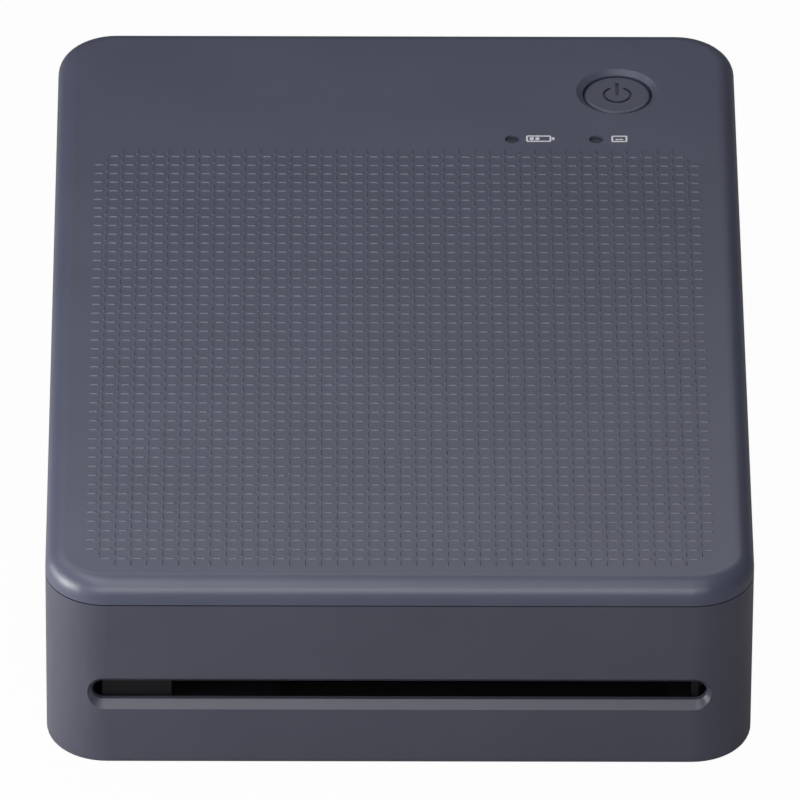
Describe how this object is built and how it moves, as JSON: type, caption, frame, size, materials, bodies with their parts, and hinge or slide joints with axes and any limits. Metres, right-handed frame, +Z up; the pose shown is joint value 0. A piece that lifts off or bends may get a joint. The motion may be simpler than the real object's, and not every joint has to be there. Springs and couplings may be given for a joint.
{
  "type": "compact photo printer",
  "caption": "Compact dye-sublimation photo printer: flat rounded case, hinged lid over the paper tray, round power button, bevelled exit slot and side ink door.",
  "frame": {"origin": "middle of the footprint, in the plane that the feet stand on", "axes": "+X to the right seen from the front, +Y to the rear hinge, +Z up; the exit slot faces -Y"},
  "size_m": [0.1022, 0.1458, 0.0329],
  "materials": {
    "case_plastic": "fine satin texture",
    "lid_plastic": "fine satin texture with raised bars",
    "button_plastic": "fine satin texture",
    "inner_plastic": "plain moulded plastic",
    "black_plastic": "plain moulded plastic",
    "gear_plastic": "natural acetal",
    "sheet_steel": "zinc plated sheet",
    "ground_steel": "ground rod",
    "screw_steel": "plated",
    "magnet": "nickel plated",
    "aluminium": "extruded",
    "ceramic": "glazed ceramic",
    "bronze": "sintered bronze",
    "rubber": "ground rubber",
    "foot_rubber": "moulded rubber",
    "board": "solder resist",
    "component": "moulded packages",
    "battery_wrap": "shrink film",
    "ribbon": "coated film",
    "lamp_lens": "smoked lens"
  },
  "bodies": {
    "case": {"lower_case": "case_plastic", "feet": "foot_rubber", "hinge_pins": "ground_steel", "inner_deck": "inner_plastic", "deck_magnets": "magnet", "deck_screws": "screw_steel", "paper_tray": "inner_plastic", "lift_spring": "screw_steel", "exit_guide": "black_plastic", "path_guide": "black_plastic", "path_floor": "inner_plastic", "side_plate_left": "sheet_steel", "side_plate_right": "sheet_steel", "chassis_screws": "screw_steel", "roller_bushes": "bronze", "head_beam": "sheet_steel", "heat_sink": "aluminium", "thermal_head": "ceramic", "battery_pack": "battery_wrap", "main_board": "board", "board_parts": "component", "board_screws": "screw_steel", "usb_socket": "magnet", "motor_bracket": "sheet_steel", "motor_body": "screw_steel", "cassette_frame": "black_plastic", "ribbon_film": "ribbon"},
    "lid": {"lid_shell": "lid_plastic", "lid_liner": "inner_plastic", "liner_screws": "screw_steel", "button_board": "board", "tact_switch": "component", "charge_light_pipe": "lamp_lens", "status_light_pipe": "lamp_lens", "lid_magnets": "magnet"},
    "button": {"power_button": "button_plastic"},
    "door": {"ink_door": "case_plastic"},
    "lift": {"lift_plate": "sheet_steel"},
    "motor_rotor": {"motor_pinion": "bronze"},
    "reduction": {"reduction_gear": "gear_plastic"},
    "pick_idler": {"pick_idler_gear": "gear_plastic"},
    "idler_1": {"idler_gear_1": "gear_plastic"},
    "idler_2": {"idler_gear_2": "gear_plastic"},
    "idler_3": {"idler_gear_3": "gear_plastic"},
    "capstan_rotor": {"capstan": "ground_steel", "capstan_gear": "gear_plastic"},
    "pinch": {"pinch_roller": "rubber"},
    "platen": {"platen_shaft": "ground_steel", "platen_tyre": "rubber"},
    "exit_rotor": {"exit_roller": "rubber", "exit_gear": "gear_plastic"},
    "exit_nip": {"exit_idler": "black_plastic"},
    "pick_rotor": {"pick_shaft": "ground_steel", "pick_tyre": "rubber", "pick_gear": "gear_plastic"},
    "supply": {"supply_spool": "ribbon"},
    "takeup": {"takeup_spool": "ribbon", "takeup_gear": "gear_plastic"}
  },
  "joints": [
    {"name": "lid_hinge", "type": "hinge", "parent": "case", "child": "lid", "pos_m": [0, 0.0701, 0.0301], "axis": [-1, 0, 0], "range_deg": [0, 95]},
    {"name": "power_button_press", "type": "slide", "parent": "lid", "child": "button", "axis": [0, 0, -1], "range_m": [0, 0.0003], "stiffness_N_per_m": 800, "springref_m": -0.0003},
    {"name": "ink_door_hinge", "type": "hinge", "parent": "case", "child": "door", "pos_m": [0.0499, -0.047, 0.01524], "axis": [0, 1, 0], "range_deg": [0, 90]},
    {"name": "lift_plate_pivot", "type": "hinge", "parent": "case", "child": "lift", "pos_m": [0.0058, 0.02, 0.0176], "axis": [1, 0, 0], "range_deg": [0, 3.2], "stiffness_Nm_per_rad": 0.05, "springref_deg": -2.86, "deforming": ["lift_spring"]},
    {"name": "capstan_spin", "type": "hinge", "parent": "case", "child": "capstan_rotor", "pos_m": [0.005, -0.027, 0.01125], "axis": [1, 0, 0], "continuous": true},
    {"name": "takeup_spin", "type": "hinge", "parent": "case", "child": "takeup", "pos_m": [0.005, -0.03688, 0.02014], "axis": [1, 0, 0], "continuous": true},
    {"name": "supply_spin", "type": "hinge", "parent": "case", "child": "supply", "pos_m": [0.005, -0.05668, 0.02014], "axis": [1, 0, 0], "continuous": true},
    {"name": "reduction_spin", "type": "hinge", "parent": "case", "child": "reduction", "pos_m": [0.005, -0.01757, 0.01468], "axis": [1, 0, 0], "continuous": true},
    {"name": "motor_spin", "type": "hinge", "parent": "case", "child": "motor_rotor", "pos_m": [0.005, -0.00571, 0.01259], "axis": [1, 0, 0], "continuous": true},
    {"name": "pick_idler_spin", "type": "hinge", "parent": "case", "child": "pick_idler", "pos_m": [0.005, -0.0157, 0.02043], "axis": [1, 0, 0], "continuous": true},
    {"name": "pick_spin", "type": "hinge", "parent": "case", "child": "pick_rotor", "pos_m": [0.005, -0.00897, 0.02249], "axis": [1, 0, 0], "continuous": true},
    {"name": "idler_1_spin", "type": "hinge", "parent": "case", "child": "idler_1", "pos_m": [0.005, -0.03771, 0.00858], "axis": [1, 0, 0], "continuous": true},
    {"name": "idler_2_spin", "type": "hinge", "parent": "case", "child": "idler_2", "pos_m": [0.005, -0.04517, 0.01158], "axis": [1, 0, 0], "continuous": true},
    {"name": "idler_3_spin", "type": "hinge", "parent": "case", "child": "idler_3", "pos_m": [0.005, -0.05297, 0.00962], "axis": [1, 0, 0], "continuous": true},
    {"name": "exit_spin", "type": "hinge", "parent": "case", "child": "exit_rotor", "pos_m": [0.005, -0.0623, 0.0116], "axis": [1, 0, 0], "continuous": true},
    {"name": "exit_nip_spin", "type": "hinge", "parent": "case", "child": "exit_nip", "pos_m": [0.005, -0.0623, 0.0153], "axis": [1, 0, 0], "continuous": true},
    {"name": "pinch_spin", "type": "hinge", "parent": "case", "child": "pinch", "pos_m": [0.005, -0.027, 0.0163], "axis": [1, 0, 0], "continuous": true},
    {"name": "platen_spin", "type": "hinge", "parent": "case", "child": "platen", "pos_m": [0.005, -0.04678, 0.009], "axis": [1, 0, 0], "continuous": true}
  ],
  "couplings": [
    {"joint": "takeup_spin", "follows": "capstan_spin", "ratio": -1.12},
    {"joint": "supply_spin", "follows": "capstan_spin", "ratio": -1.12},
    {"joint": "reduction_spin", "follows": "capstan_spin", "ratio": -2.3333},
    {"joint": "motor_spin", "follows": "capstan_spin", "ratio": 7},
    {"joint": "pick_idler_spin", "follows": "capstan_spin", "ratio": 2.3333},
    {"joint": "pick_spin", "follows": "capstan_spin", "ratio": -1.75},
    {"joint": "idler_1_spin", "follows": "capstan_spin", "ratio": -1.75},
    {"joint": "idler_2_spin", "follows": "capstan_spin", "ratio": 1.75},
    {"joint": "idler_3_spin", "follows": "capstan_spin", "ratio": -1.75},
    {"joint": "exit_spin", "follows": "capstan_spin", "ratio": 1.2727},
    {"joint": "exit_nip_spin", "follows": "capstan_spin", "ratio": -1.6121},
    {"joint": "pinch_spin", "follows": "capstan_spin", "ratio": -0.9},
    {"joint": "platen_spin", "follows": "capstan_spin", "ratio": 0.5}
  ]
}
